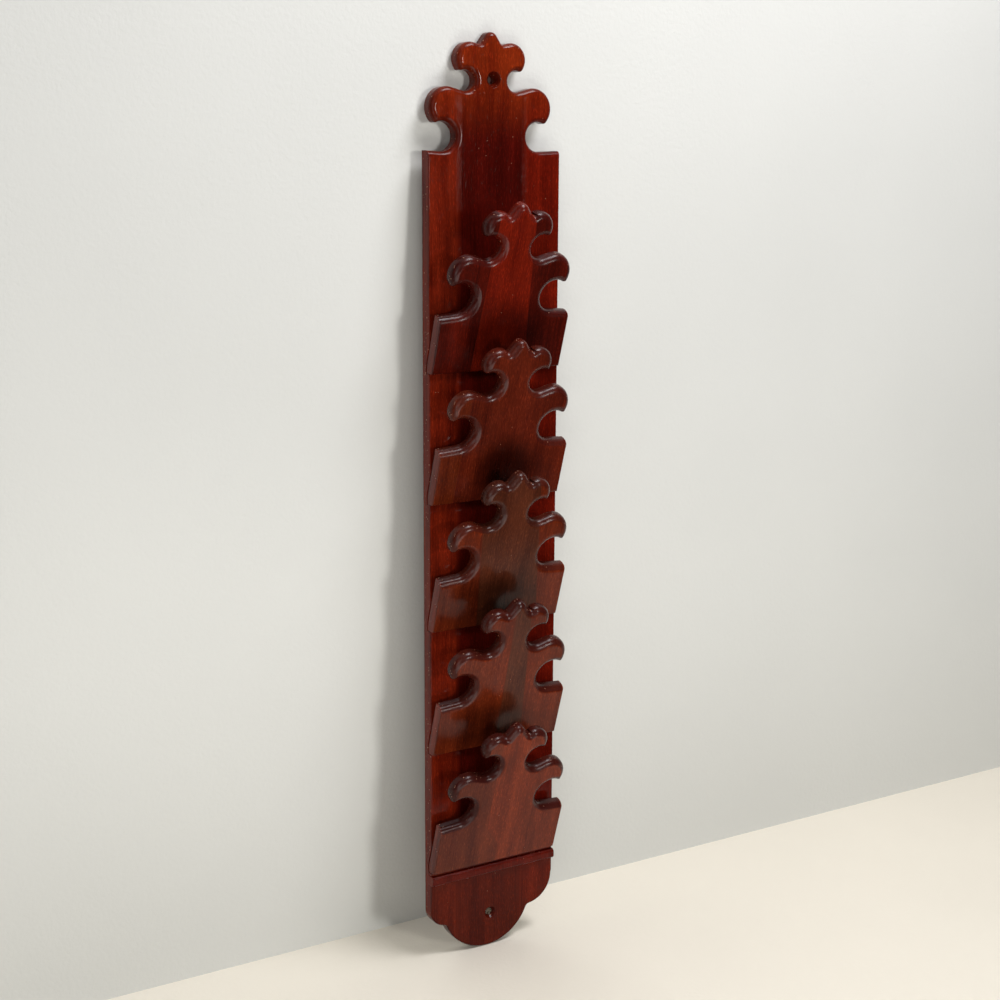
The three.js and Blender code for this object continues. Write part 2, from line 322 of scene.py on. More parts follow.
def down_side(start, end, radius):
    """Heights down a side from start to end, closer where a rounded end needs them."""
    near = [start - d for d in ring_distances(radius)]
    return [*near, *np.arange(near[-1] - LONGEST_STEP, end, -LONGEST_STEP)]


def inside(points, outline):
    """Which points lie inside a closed outline."""
    x, z = points[:, 0, None], points[:, 1, None]
    x0, z0 = outline[:, 0], outline[:, 1]
    x1, z1 = np.roll(x0, -1), np.roll(z0, -1)
    spans = (z0 > z) != (z1 > z)
    height = np.where(z1 == z0, 1, z1 - z0)
    crossing = x < (x1 - x0) * (z - z0) / height + x0
    return (spans & crossing).sum(1) % 2 == 1


def slab(outline, inner, front_drop, back_drop, thickness):
    """A closed bmesh in mm: a slab from y = 0 to y = thickness over a clockwise outline in x and z.

    front_drop and back_drop give how far each face is set in at given points, for rounded edges.
    """
    closed = np.vstack([outline, outline[:1]])
    keep = inside(inner, outline) & (distances(inner, closed) > CLEAR)
    every = np.vstack([outline, inner[keep]])
    count = len(outline)
    flat = [Vector(p) for p in every]
    boundary = [(i, (i + 1) % count) for i in range(count)]
    face = [list(range(count))[::-1]]
    points, _, triangles, origin, _, _ = delaunay_2d_cdt(flat, boundary, face, 1, MERGED)
    where = {old: new for new, olds in enumerate(origin) for old in olds}
    grid = np.array(points)
    front_y = front_drop(grid)
    back_y = thickness - back_drop(grid)
    bm = bmesh.new()
    front = [bm.verts.new((x, y, z)) for (x, z), y in zip(grid, front_y)]
    rim = {where[i] for i in range(count)}
    back = []
    for i, ((x, z), y) in enumerate(zip(grid, back_y)):
        meets = i in rim and y - front_y[i] < MEETING
        back.append(front[i] if meets else bm.verts.new((x, y, z)))
    for triangle in triangles:
        a, b, c = clockwise(triangle, grid)
        bm.faces.new((front[a], front[b], front[c]))
        bm.faces.new((back[c], back[b], back[a]))
    for i, j in boundary:
        p, q = where[i], where[j]
        corners = list(dict.fromkeys([front[p], front[q], back[q], back[p]]))
        if len(corners) > 2:
            bm.faces.new(corners)
    return bm


def clockwise(triangle, grid):
    """A triangle's corners in the order that faces it to the front of a slab."""
    a, b, c = triangle
    (ax, az), (bx, bz), (cx, cz) = grid[a], grid[b], grid[c]
    if (bx - ax) * (cz - az) - (bz - az) * (cx - ax) < 0:
        return a, c, b
    return a, b, c


# ------------------------------------------------------------------ other solids

def prism(section, x0, x1):
    """A closed bmesh in mm: a section of (y, z) points made solid from x0 to x1."""
    return lofted([[(x, y, z) for y, z in section] for x in (x0, x1)])


def lofted(loops):
    """A closed bmesh in mm through loops of (x, y, z) points, one after the other."""
    bm = bmesh.new()
    rows = [[bm.verts.new(point) for point in loop] for loop in loops]
    for row, following in zip(rows, rows[1:]):
        for i in range(len(row)):
            j = (i + 1) % len(row)
            bm.faces.new((row[i], row[j], following[j], following[i]))
    bm.faces.new(rows[0])
    bm.faces.new(rows[-1][::-1])
    bmesh.ops.recalc_face_normals(bm, faces=bm.faces[:])
    return bm


def lathe(profile, sides, radius_at=None):
    """A closed bmesh in mm: (radius, y) rows turned about the y axis, from one end to the other.

    radius_at(radius, y, angle) may change the radius as it goes round, as a thread does.
    """
    bm = bmesh.new()
    angles = [2 * math.pi * i / sides for i in range(sides)]
    rows = []
    for radius, y in profile:
        if radius == 0:
            rows.append([bm.verts.new((0, y, 0))] * sides)
            continue
        reach = [radius_at(radius, y, a) if radius_at else radius for a in angles]
        rows.append([bm.verts.new((r * math.cos(a), y, r * math.sin(a)))
                     for r, a in zip(reach, angles)])
    for row, following in zip(rows, rows[1:]):
        for i in range(sides):
            j = (i + 1) % sides
            corners = dict.fromkeys((row[i], row[j], following[j], following[i]))
            bm.faces.new(list(corners))
    bmesh.ops.recalc_face_normals(bm, faces=bm.faces[:])
    return bm


def moved(bm, x, y, z):
    bmesh.ops.translate(bm, verts=bm.verts[:], vec=(x, y, z))
    return bm


def turned(bm, angle, axis):
    bmesh.ops.rotate(bm, verts=bm.verts[:], matrix=Matrix.Rotation(angle, 3, axis))
    return bm


def merged(solids):
    """Several closed bmeshes as one."""
    whole = bmesh.new()
    for bm in solids:
        mesh = bpy.data.meshes.new("part")
        bm.to_mesh(mesh)
        bm.free()
        whole.from_mesh(mesh)
        bpy.data.meshes.remove(mesh)
    return whole


def linked(name, data):
    """A new object in the scene with that data."""
    made = bpy.data.objects.new(name, data)
    bpy.context.scene.collection.objects.link(made)
    return made


def as_object(bm, name):
    mesh = bpy.data.meshes.new(name)
    bm.to_mesh(mesh)
    bm.free()
    return linked(name, mesh)


def apply_modifiers(piece):
    bpy.context.view_layer.update()
    evaluated = piece.evaluated_get(bpy.context.evaluated_depsgraph_get())
    old, piece.data = piece.data, bpy.data.meshes.new_from_object(evaluated)
    piece.data.name = piece.name
    piece.modifiers.clear()
    bpy.data.meshes.remove(old)


def cut(bm, *passes):
    """A closed bmesh with closed cutting shapes taken out of it, a list of them at a time."""
    blank = as_object(bm, "blank")
    for cutters in passes:
        cutter = as_object(merged(cutters), "cutter")
        boolean = blank.modifiers.new("cut", "BOOLEAN")
        boolean.solver = "MANIFOLD"
        boolean.object = cutter
        apply_modifiers(blank)
        bpy.data.objects.remove(cutter)
    result = bmesh.new()
    result.from_mesh(blank.data)
    bpy.data.objects.remove(blank)
    return result


def trim(bm, place, outward):
    """Cuts off what lies outward of a plane, and closes the cut."""
    everything = [*bm.verts, *bm.edges, *bm.faces]
    bmesh.ops.bisect_plane(bm, geom=everything, plane_co=place, plane_no=outward, clear_outer=True)
    bmesh.ops.holes_fill(bm, edges=[e for e in bm.edges if e.is_boundary])


def finished(bm, name, material, slot, *nodes):
    """A bmesh in mm as a piece of the rack that stands for CAD nodes."""
    bmesh.ops.remove_doubles(bm, verts=bm.verts[:], dist=MERGED)
    bmesh.ops.scale(bm, verts=bm.verts[:], vec=(MM, MM, MM))
    for face in bm.faces:
        face.smooth = True
    piece = as_object(bm, name)
    piece.data.set_sharp_from_angle(angle=SHARP)
    piece.data.materials.append(material)
    normals = piece.modifiers.new("normals", "WEIGHTED_NORMAL")
    normals.keep_sharp = True
    apply_modifiers(piece)
    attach(piece, BODY)
    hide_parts(*nodes)
    return piece


# ------------------------------------------------------------------ screws

def screw_space(length, x, y, z):
    """The space for a screw that points forward, its head's top at y, and the way in to it."""
    tip = y - length - GAP
    profile = [
        (0, tip),
        (SHANK + GAP, tip + POINT),
        (SHANK + GAP, y - SINK - GAP),
        (HEAD + GAP, y - GAP),
        (HEAD + GAP, y + OVERRUN),
        (0, y + OVERRUN),
    ]
    return moved(lathe(profile, HOLE_SIDES), x, 0, z)


def screw_spaces(screws, z):
    """The spaces for a pair of screws from the back."""
    return [screw_space(screws["length"], side * screws["x"], -SET_IN, z) for side in (-1, 1)]


def threaded(radius, y, angle):
    """The radius of a screw's shank as the thread winds down it."""
    if y > -SINK - THREAD_PITCH or radius < SHANK / 3:
        return radius
    phase = (y / THREAD_PITCH + angle / (2 * math.pi)) % 1
    return radius * (1 - THREAD_DEPTH / SHANK * min(1, 3 * abs(phase - 0.5)))


def screw_profile(length):
    """The (radius, y) rows of a screw, from the top of its head down to its point."""
    bevel, drop = RIM
    rows = [(0, 0), (HEAD - bevel, 0), (HEAD, -drop), (HEAD, -LAND), (SHANK, -SINK)]
    step = THREAD_PITCH / THREAD_ROWS
    straight = length - POINT - SINK
    rows += [(SHANK, -SINK - step * i) for i in range(1, int(straight / step) + 1)]
    tapered = int(POINT / step)
    for i in range(tapered):
        share = i / tapered
        rows.append((SHANK * math.sqrt(1 - share), POINT - length - POINT * share))
    return [*rows, (0, -length)]


def screw(name, material, length, turn, x, y, z, points=-1):
    """A slotted screw, its head's top at y, that points forward (-1) or back (1)."""
    half, reach = SLOT_WIDTH / 2, 3 * HEAD
    section = [(-SLOT_DEPTH, -half), (OVERRUN, -half), (OVERRUN, half), (-SLOT_DEPTH, half)]
    slot = turned(prism(section, -reach, reach), math.radians(turn), "Y")
    body = cut(lathe(screw_profile(length), SCREW_SIDES, threaded), [slot])
    if points > 0:
        turned(body, math.pi, "Z")
    return finished(moved(body, x, y, z), f"rack_{name}", material, "screw_steel", name)


# ------------------------------------------------------------------ plates

def plate(tier):
    """A fretwork plate: a slab with rounded edges, leaned forward, its foot cut to fit its housing."""
    side = PLATE_SIDE
    fret = fret_curve(PLATE_FRET, 0, -side, side, PLATE_SHOULDER)
    long_fret = run_on(fret)
    foot = GAP / math.cos(TILT)  # where the front meets the floor, along the plate
    zs = down_side(fret[-1][1], -2 * OVERRUN, PLATE_ROUND)
    right = [(side, z) for z in zs]
    outline = np.array([*fret, *right[1:], *[(-x, z) for x, z in right[:0:-1]]])
    across = np.arange(-side + 1, side, LONGEST_STEP)
    inner = spread_out(np.vstack([
        rings(long_fret, PLATE_ROUND),
        rings(long_fret, PLATE_BACK_ROUND),
        side_lattice(side, zs),
        [(x, foot + d) for x in across for d in arris_distances()],
    ]))

    def back_drop(points):
        edge = rounded(side - np.abs(points[:, 0]), ARRIS)
        return np.maximum(edge, rounded(distances(points, long_fret), PLATE_BACK_ROUND))

    def front_drop(points):
        return np.maximum.reduce([
            rounded(distances(points, long_fret), PLATE_ROUND),
            rounded(side - np.abs(points[:, 0]), ARRIS),
            rounded(points[:, 1] - foot, ARRIS),
        ])

    bm = turned(slab(outline, inner, front_drop, back_drop, PLATE_THICKNESS), TILT, "X")
    moved(bm, 0, FRONT - PROUD, FEET[tier])
    trim(bm, (0, 0, FEET[tier] + GAP), (0, 0, -1))
    trim(bm, (0, FRONT + HOUSING_DEPTH - GAP, 0), (0, 1, 0))
    return cut(bm, screw_spaces(PLATE_SCREWS, FEET[tier] + PLATE_SCREWS["rise"]))


# ------------------------------------------------------------------ backboard

def slot_across(section):
    """The cutting shape for a slot right across the board, of (y, z) points; y = 0 is its front."""
    placed = [(FRONT + y, z) for y, z in section]
    return prism(placed, -SIDE - OVERRUN, SIDE + OVERRUN)


def housing(foot):
    """The slot that a plate's foot fills: level below, and sloping with the plate above."""
    def top(y):
        behind = (PLATE_THICKNESS + GAP) / math.cos(TILT) - PROUD - y
        return foot + behind / math.tan(TILT)

    front, back = -OVERRUN, HOUSING_DEPTH
    return slot_across([(front, foot), (back, foot), (back, top(back)), (front, top(front))])


def groove():
    """The groove that holds the batten."""
    front, back = -OVERRUN, HOUSING_DEPTH
    low, high = batten_low.z - GAP, batten_high.z + GAP
    return slot_across([(front, low), (back, low), (back, high), (front, high)])


def hole(profile, x, z):
    """The cutting shape for a hole from the front, its rim softened; y = 0 is the board's front."""
    mouth = profile[0][0]
    rim = [(mouth + HOLE_EASE * (1 - math.sin(a)), HOLE_EASE * (1 - math.cos(a)))
           for a in np.radians([0, 30, 60, 90])]
    rows = [(0, -OVERRUN), (rim[0][0], -OVERRUN), *rim, *profile[1:]]
    rows += [(profile[-1][0], THICKNESS + OVERRUN), (0, THICKNESS + OVERRUN)]
    return moved(lathe(rows, HOLE_SIDES), x, FRONT, z)


def hanging_hole():
    """The hanging hole in the crest, countersunk from the front."""
    shape = HANGING_HOLE
    profile = [(shape["mouth"], 0), (shape["radius"], shape["sink"])]
    return hole(profile, shape["x"], TOP - shape["drop"])


def lower_hole():
    """The hole in the lobe, in which the head of its screw lies sunk."""
    shape = LOWER_HOLE
    sink = shape["sink"]
    profile = [
        (shape["mouth"], 0),
        (HEAD + GAP, sink),
        (HEAD + GAP, sink + GAP),
        (SHANK + GAP, sink + SINK + GAP),
    ]
    return hole(profile, shape["x"], BOTTOM + shape["rise"])


def backboard():
    """The board: a rounded crest, soft sides, a lobed lower end, and everything cut out of it."""
    shoulder = TOP - CREST_FRET["height"]
    crest = fret_curve(CREST_FRET, CREST_MIDDLE, -SIDE, SIDE, shoulder)
    long_crest = run_on(crest)
    end = lower_end()
    zs = down_side(crest[-1][1], end[0][1], CREST_ROUND)
    right = [(SIDE, z) for z in zs[1:]]
    left = [(-x, z) for x, z in right[::-1] if z > end[-1][1] + 1]
    outline = np.array([*crest, *right, *end, *left])
    inner = spread_out(np.vstack([
        rings(long_crest, CREST_ROUND),
        rings(end, END_ROUND),
        side_lattice(SIDE, zs),
    ]))

    def front_drop(points):
        return np.maximum.reduce([
            rounded(distances(points, long_crest), CREST_ROUND),
            rounded(SIDE - np.abs(points[:, 0]), ARRIS),
            rounded(distances(points, end), END_ROUND),
        ])

    bm = slab(outline, inner, front_drop, lambda points: np.zeros(len(points)), THICKNESS)
    moved(bm, 0, FRONT, 0)
    holes = [hanging_hole(), lower_hole()]
    for foot in FEET:
        holes += screw_spaces(PLATE_SCREWS, foot + PLATE_SCREWS["rise"])
    holes += screw_spaces(BATTEN_SCREWS, BATTEN_MIDDLE)
    return cut(bm, [*map(housing, FEET), groove()], holes)


# ------------------------------------------------------------------ batten

def batten_section(inset):
    """The batten's section in y and z, drawn smaller all round its front by inset."""
    radius = BATTEN_ROUND - inset
    y = batten_low.y + BATTEN_ROUND
    top = batten_high.z - BATTEN_ROUND
    bottom = batten_low.z + BATTEN_ROUND
    angles = np.linspace(0, math.pi / 2, CORNER_POINTS)
    lower = [(y - radius * math.sin(a), bottom - radius * math.cos(a)) for a in angles]
    upper = [(y - radius * math.cos(a), top + radius * math.sin(a)) for a in angles]
    back = batten_high.y
    return [(back, batten_low.z + inset), *lower, *upper, (back, batten_high.z - inset)]


def batten():
    """The batten: a bar with round front corners and softened ends."""
    stations = []
    for angle in END_ANGLES:
        x = batten_high.x - BATTEN_END * (1 - math.sin(angle))
        stations.append((x, BATTEN_END * (1 - math.cos(angle))))
    stations = [(-x, inset) for x, inset in stations[::-1]] + stations
    bar = lofted([[(x, y, z) for y, z in batten_section(inset)] for x, inset in stations])
    return cut(bar, screw_spaces(BATTEN_SCREWS, BATTEN_MIDDLE))


# ------------------------------------------------------------------ shaders

class Shader:
    """A material under construction: short calls that make nodes and give their results."""

    def __init__(self, name):
        self.material = bpy.data.materials.new(name)
        self.material.use_nodes = True
        self.tree = self.material.node_tree
        self.surface = self.tree.nodes["Principled BSDF"]

    def put(self, socket, value):
        """Links a socket to another node's output, or gives it a plain value."""
        if isinstance(value, bpy.types.NodeSocket):
            self.tree.links.new(value, socket)
        else:
            socket.default_value = value

    def look(self, values):
        """Sets inputs of the surface, each under its own name."""
        for name, value in values.items():
            self.put(self.surface.inputs[name], value)

    def node(self, kind, inputs, **settings):
        made = self.tree.nodes.new(kind)
        for name, value in settings.items():
            setattr(made, name, value)
        for key, value in inputs.items():
            self.put(made.inputs[key], value)
        return made

    def place(self):
        """Where a point is in the piece, in metres."""
        return self.node("ShaderNodeTexCoord", {}).outputs["Object"]

    def math(self, operation, *values):
        made = self.node("ShaderNodeMath", dict(enumerate(values)), operation=operation)
        return made.outputs[0]

    def add(self, a, b):
        return self.math("ADD", a, b)

    def times(self, a, b, plus=0.0):
        return self.math("MULTIPLY_ADD", a, b, plus)

    def span(self, value, low, high, to_low=0.0, to_high=1.0, smooth=False):
        """value as it goes from low to high, and no further, brought to the range between to_*."""
        kind = "SMOOTHSTEP" if smooth else "LINEAR"
        inputs = {0: value, 1: low, 2: high, 3: to_low, 4: to_high}
        return self.node("ShaderNodeMapRange", inputs, interpolation_type=kind).outputs[0]

    def mix(self, share, a, b, blend="MIX"):
        inputs = {0: share, 6: a, 7: b}
        made = self.node("ShaderNodeMix", inputs, data_type="RGBA", blend_type=blend)
        return made.outputs[2]

    def shaded(self, colour, level):
        """A colour made lighter or darker, all its parts by the same factor."""
        grey = self.node("ShaderNodeCombineColor", {0: level, 1: level, 2: level}).outputs[0]
        return self.mix(1.0, colour, grey, "MULTIPLY")

    def vector(self, x, y, z):
        return self.node("ShaderNodeCombineXYZ", {0: x, 1: y, 2: z}).outputs[0]

    def scaled(self, place, scale):
        inputs = {0: place, 1: scale}
        return self.node("ShaderNodeVectorMath", inputs, operation="MULTIPLY").outputs[0]

    def shifted(self, place, offset):
        return self.node("ShaderNodeVectorMath", {0: place, 1: offset}, operation="ADD").outputs[0]

    def noise(self, place, size, detail=2.0, rough=0.5):
        """Noise whose lumps are about size = (x, y, z) across, in the same unit as place."""
        stretched = self.scaled(place, tuple(1 / s for s in size))
        inputs = {"Vector": stretched, "Scale": 1.0, "Detail": detail, "Roughness": rough}
        return self.node("ShaderNodeTexNoise", inputs).outputs["Fac"]

    def bump(self, height, distance, normal=None):
        inputs = {"Height": height, "Distance": distance * MM, "Strength": 1.0}
        if normal:
            inputs["Normal"] = normal
        return self.node("ShaderNodeBump", inputs).outputs[0]


def rgb(red, green, blue):
    """An sRGB colour, each part 0 to 255, as the linear colour that a shader takes."""
    parts = [c / 255 for c in (red, green, blue)]
    linear = [c / 12.92 if c <= 0.04045 else ((c + 0.055) / 1.055) ** 2.4 for c in parts]
    return (*linear, 1.0)


# ------------------------------------------------------------------ lacquered wood

# Sizes of the lumps of noise, in mm: across the grain, through the piece and along the grain
WANDER = (90, 90, 90)
STREAK = (1.5, 1.5, 70)
FIGURE = (14, 9, 120)
CLOUD = (38, 30, 90)
PORE = (0.5, 0.5, 6)
FLECK = (0.7, 0.7, 4)
FIBRE = (0.8, 0.8, 30)
CHIP = (1.3, 1.3, 1.7)
WEAR = (26, 26, 40)
PEEL = (1.6, 1.6, 2.2)

# Where in the log each stave and each piece comes from, in mm
STAVE_ASIDE = 310.0
STAVE_ALONG = 170.0
PIECE_ASIDE = 57.0
GRAIN_DRIFT = 9.0  # how far the grain wanders to the side
FLECK_SHIFT = (7, 3, 11)
CHIP_SHIFT = (3, 9, 5)

# What noise does: it counts from a low value to a high one, some with the brightness at each
FIGURE_SHARE = 0.55  # the rest of the tone is streaks
TONE_SPAN = (0.36, 0.64)
CLOUD_LEVELS = (0.3, 0.7, 0.78, 1.18)
FLECK_LEVELS = (0.56, 0.72, 0.94, 1.74)
PORE_SPAN = (0.6, 0.72)
WEAR_SPAN = (0.3, 0.7)
PAINTED_SHADE_SPAN = (0.35, 1.0)  # from the middle of the painted shade, 0, to its outline, 1
PORE_SHARE = 0.5
FLANK_SHARE = 0.8
CHIP_SHARE = 0.8

# Where the edges differ, in mm: inset is from the nearer face, and the sides are the upright ones
EDGE_INSET = (0.03, 0.5)
EDGE_FROM_SIDE = (0.2, 2.0)
FLANK_FROM_SIDE = (0.3, 0.6, 1.0, 0.0)
FLANK_INSET = (0.5, 1.5)
CHIP_LEVELS = (0.0, 2.0, 0.88, 0.8)  # by inset, the noise above which the lacquer is chipped
CHIP_EDGE = 0.02

# Lacquer: roughness that is added, and relief in mm
CHIP_ROUGHNESS = 0.3
EDGE_ROUGHNESS = 0.1
SUNK = 0.01
FIBRE_RELIEF = 0.014
PEEL_RELIEF = 0.012

PORE_COLOUR = rgb(24, 5, 3)
# Colour of the darker rounded edges: partly end grain that takes more dye, partly painted shade.
EDGE_DYE_AND_SHADE_COLOUR = rgb(40, 10, 9)
CHIP_COLOUR = rgb(176, 128, 104)

# Tones of the dyed wood, each (dark, light)
ORANGE = (rgb(60, 9, 3), rgb(96, 25, 9))
GARNET = (rgb(40, 4, 2), rgb(62, 8, 4))
RUSSET = (rgb(62, 8, 3), rgb(94, 18, 6))
CRIMSON = (rgb(76, 12, 4), rgb(106, 24, 8))
MAROON = (rgb(42, 6, 3), rgb(70, 14, 6))
SIENNA = (rgb(64, 19, 7), rgb(94, 34, 13))
RUST = (rgb(56, 13, 6), rgb(84, 27, 12))
UMBER = (rgb(54, 22, 12), rgb(78, 37, 21))
CHESTNUT = (rgb(78, 25, 10), rgb(108, 40, 17))
WALNUT = (rgb(66, 22, 10), rgb(92, 36, 17))
MAHOGANY = (rgb(58, 7, 2), rgb(84, 16, 5))
CROWN = (rgb(84, 18, 5), rgb(118, 38, 11))
LOBE = (rgb(60, 13, 4), rgb(86, 25, 8))
FLANK = (rgb(72, 15, 6), rgb(110, 31, 12))

# What wood() is told about each piece, in mm
BOARD_WOOD = {
    "staves": [ORANGE, GARNET, RUSSET],
    "joins": [((0, -40.5), (TOP - BOTTOM, -38)), ((0, 31), (TOP - BOTTOM, 31))],
    "ends": [
        {"heights": (790, 865), "shares": (0.0, 1.0), "tones": CROWN},
        {"heights": (75, 105), "shares": (0.65, 0.0), "tones": LOBE},
    ],
    "edge_share": 0.3,
    "sheen": 0.1,
    "gloss": (0.05, 0.09),
    "soft": 3,
}
# The darker place on the lower face of the first four plates is painted shade, where the head of the
# plate below shades it.
PLATE_WOOD = [
    {
        "staves": [MAROON, CRIMSON, MAROON],
        "joins": [((0, -29), (118, -25)), ((37, 25.4), (100, 19.2))],
        "painted_shade": {"middle": (2, 32), "size": (110, 110), "left": 0.4},
        "edge_share": 0.35,
    },
    {
        "staves": [SIENNA, RUST],
        "joins": [((0, -48), (100, -46))],
        "painted_shade": {"middle": (2, 32), "size": (90, 90), "left": 0.35},
        "edge_share": 0.4,
    },
    {
        "staves": [SIENNA, UMBER, SIENNA],
        "joins": [((65, -29.3), (103, -33.6)), ((7.5, 44.3), (78, 33.1))],
        "painted_shade": {"middle": (-22, 28), "size": (120, 84), "left": 0.4},
        "edge_share": 0.6,
    },
    {
        "staves": [SIENNA, UMBER, SIENNA],
        "joins": [((61, -2.4), (149, -4.7)), ((51, 22.7), (139, 13.6))],
        "painted_shade": {"middle": (-22, 26), "size": (110, 70), "left": 0.5},
        "edge_share": 0.75,
    },
    {
        "staves": [WALNUT, CHESTNUT, CHESTNUT],
        "joins": [((18, -0.5), (50, -17.5), "bent"), ((2, 45.5), (41, 42.4))],
        "edge_share": 0.85,
    },
]
BATTEN_WOOD = {"staves": [MAHOGANY], "edge_share": 0.0, "sheen": 0.12}
BATTEN_DEPTH = 40  # more than the batten's own, so that only its front has the look of a face


def wood(name, seed, origin, tilt, thickness, staves, joins=(), ends=(), painted_shade=None,
         edge_share=0.7, sheen=0.17, gloss=(0.12, 0.2), soft=0.5):
    """Glued-up hardwood, dyed and lacquered.

    staves are the tones from left to right, and joins the glue lines between them, each
    ((s, x), (s, x)): x from the middle, s up the piece from its origin, soft how far a tone fades
    into the next. ends are other tones that come in between two heights, by shares. painted_shade
    is a darker place of painted shade, where a plate below shades this one. edge_share is how much
    the rounded edges are darker, partly as end grain that takes more dye and partly as painted
    shade, sheen how strong the reflections are, and gloss the range of their roughness.
    """
    sh = Shader(name)
    local = local_place(sh, origin, tilt)
    x, depth, s = sh.node("ShaderNodeSeparateXYZ", {0: local}).outputs
    shares = [join_share(sh, x, s, join, soft) for join in joins]
    grain = grain_space(sh, x, depth, s, sum_of(sh, shares), seed)
    tone = grain_tone(sh, grain)
    colour = stave_colour(sh, tone, shares, staves)
    for end in ends:
        reached = sh.span(s, *end["heights"], *end["shares"], smooth=True)
        colour = sh.mix(reached, colour, sh.mix(tone, *end["tones"]))
    level = sh.span(sh.noise(grain, CLOUD, 1.0), *CLOUD_LEVELS)
    # Painted shade: darker on a plate's lower face, where the plate below shades it.
    if painted_shade:
        level = sh.times(level, painted_shade_level(sh, x, s, **painted_shade))
    colour = sh.shaded(colour, level)

    pores = sh.span(sh.noise(grain, PORE, 1.0), *PORE_SPAN)
    colour = sh.mix(sh.times(pores, PORE_SHARE), colour, PORE_COLOUR)
    flecks = sh.noise(sh.shifted(grain, FLECK_SHIFT), FLECK, 1.0)
    colour = sh.shaded(colour, sh.span(flecks, *FLECK_LEVELS))

    inset = sh.math("MINIMUM", depth, sh.math("SUBTRACT", thickness, depth))
    from_side = sh.math("SUBTRACT", PLATE_SIDE, sh.math("ABSOLUTE", x))
    flank = sh.span(sh.math("MINIMUM", from_side, inset), *FLANK_FROM_SIDE)
    flank = sh.times(sh.times(flank, sh.span(inset, *FLANK_INSET)), FLANK_SHARE)
    colour = sh.mix(flank, colour, sh.mix(tone, *FLANK))
    edge = sh.times(sh.span(inset, *EDGE_INSET), sh.span(from_side, *EDGE_FROM_SIDE))
    # Darker rounded edges: partly end grain that takes more dye, partly painted shade, more of it on
    # the lower plates.
    colour = sh.mix(sh.times(edge, edge_share), colour, EDGE_DYE_AND_SHADE_COLOUR)
    chips = chipped(sh, local, inset)
    colour = sh.mix(sh.times(chips, CHIP_SHARE), colour, CHIP_COLOUR)

    sh.look({
        "Base Color": colour,
        "Roughness": roughness(sh, local, gloss, chips, edge),
        "Specular IOR Level": sheen,
        "Normal": relief(sh, local, grain, pores, chips),
    })
    return sh.material


def local_place(sh, origin, tilt):
    """Where a point is from a piece's own origin, in mm along the piece's own axes."""
    inputs = {"Vector": sh.place(), "Location": [c * MM for c in origin],
              "Rotation": (tilt, 0, 0), "Scale": (MM, MM, MM)}
    return sh.node("ShaderNodeMapping", inputs, vector_type="TEXTURE").outputs[0]


def join_share(sh, x, s, join, soft):
    """0 to the left of a glue line and 1 to its right.

    A bent one runs between its two places only, and straight up from there on.
    """
    (s0, x0), (s1, x1), *bent = join
    if bent:
        line = sh.span(s, s0, s1, x0, x1, smooth=True)
    else:
        slope = (x1 - x0) / (s1 - s0)
        line = sh.times(s, slope, x0 - slope * s0)
    return sh.span(sh.math("SUBTRACT", x, line), -soft, soft)


def sum_of(sh, values):
    total = 0.0
    for value in values:
        total = sh.add(value, total)
    return total


def grain_space(sh, x, depth, s, stave, seed):
    """Places in the wood that run along the grain, with each stave cut from elsewhere in the log."""
    drift = sh.shifted(sh.vector(0.0, 0.0, s), (seed, seed, 0))
    wander = sh.math("SUBTRACT", sh.noise(drift, WANDER, 1.0), 0.5)
    across = sh.add(sh.add(x, sh.times(wander, GRAIN_DRIFT)), sh.times(stave, STAVE_ASIDE))
    along = sh.times(stave, STAVE_ALONG, s)
    return sh.vector(sh.add(across, PIECE_ASIDE * seed), depth, along)


def grain_tone(sh, grain):
    """0 where the wood is darkest and 1 where it is lightest, by its streaks and figure."""
    streak = sh.times(sh.noise(grain, STREAK, 3.0, 0.6), 1 - FIGURE_SHARE)
    figure = sh.times(sh.noise(grain, FIGURE, 2.0), FIGURE_SHARE)
    return sh.span(sh.add(streak, figure), *TONE_SPAN)


def stave_colour(sh, tone, shares, staves):
    dark, light = staves[0]
    for share, (next_dark, next_light) in zip(shares, staves[1:]):
        dark = sh.mix(share, dark, next_dark)
        light = sh.mix(share, light, next_light)
    return sh.mix(tone, dark, light)


def painted_shade_level(sh, x, s, middle, size, left):
    """How much of the colour is left in painted shade, where the plate below shades this one:
    all of it outside, and left in the middle.
    """
    across = sh.times(x, 2 / size[0], -2 * middle[0] / size[0])
    up = sh.times(s, 2 / size[1], -2 * middle[1] / size[1])
    away = sh.math("SQRT", sh.add(sh.times(across, across), sh.times(up, up)))
    return sh.span(away, *PAINTED_SHADE_SPAN, left, 1.0, smooth=True)


def chipped(sh, local, inset):
    """1 where the lacquer is chipped down to pale wood: small spots, most of them on the edges."""
    spots = sh.noise(sh.shifted(local, CHIP_SHIFT), CHIP, 0.0)
    exposed = sh.span(inset, *CHIP_LEVELS)
    return sh.span(sh.math("SUBTRACT", spots, exposed), 0.0, CHIP_EDGE)


def roughness(sh, local, gloss, chips, edge):
    """Of the lacquer, which varies with wear, and is duller on chips and edges."""
    worn = sh.span(sh.noise(local, WEAR, 3.0), *WEAR_SPAN, *gloss)
    return sh.add(sh.add(worn, sh.times(chips, CHIP_ROUGHNESS)), sh.times(edge, EDGE_ROUGHNESS))


def relief(sh, local, grain, pores, chips):
    """Pores and chips that sink, the fibres of the wood, and a little orange peel."""
    normal = sh.bump(sh.times(sh.add(pores, chips), -1.0), SUNK)
    normal = sh.bump(sh.noise(grain, FIBRE, 2.0), FIBRE_RELIEF, normal)
    return sh.bump(sh.noise(local, PEEL, 1.0), PEEL_RELIEF, normal)


def board_wood():
    return wood("board_wood", 1, (0, FRONT, BOTTOM), 0, THICKNESS, **BOARD_WOOD)


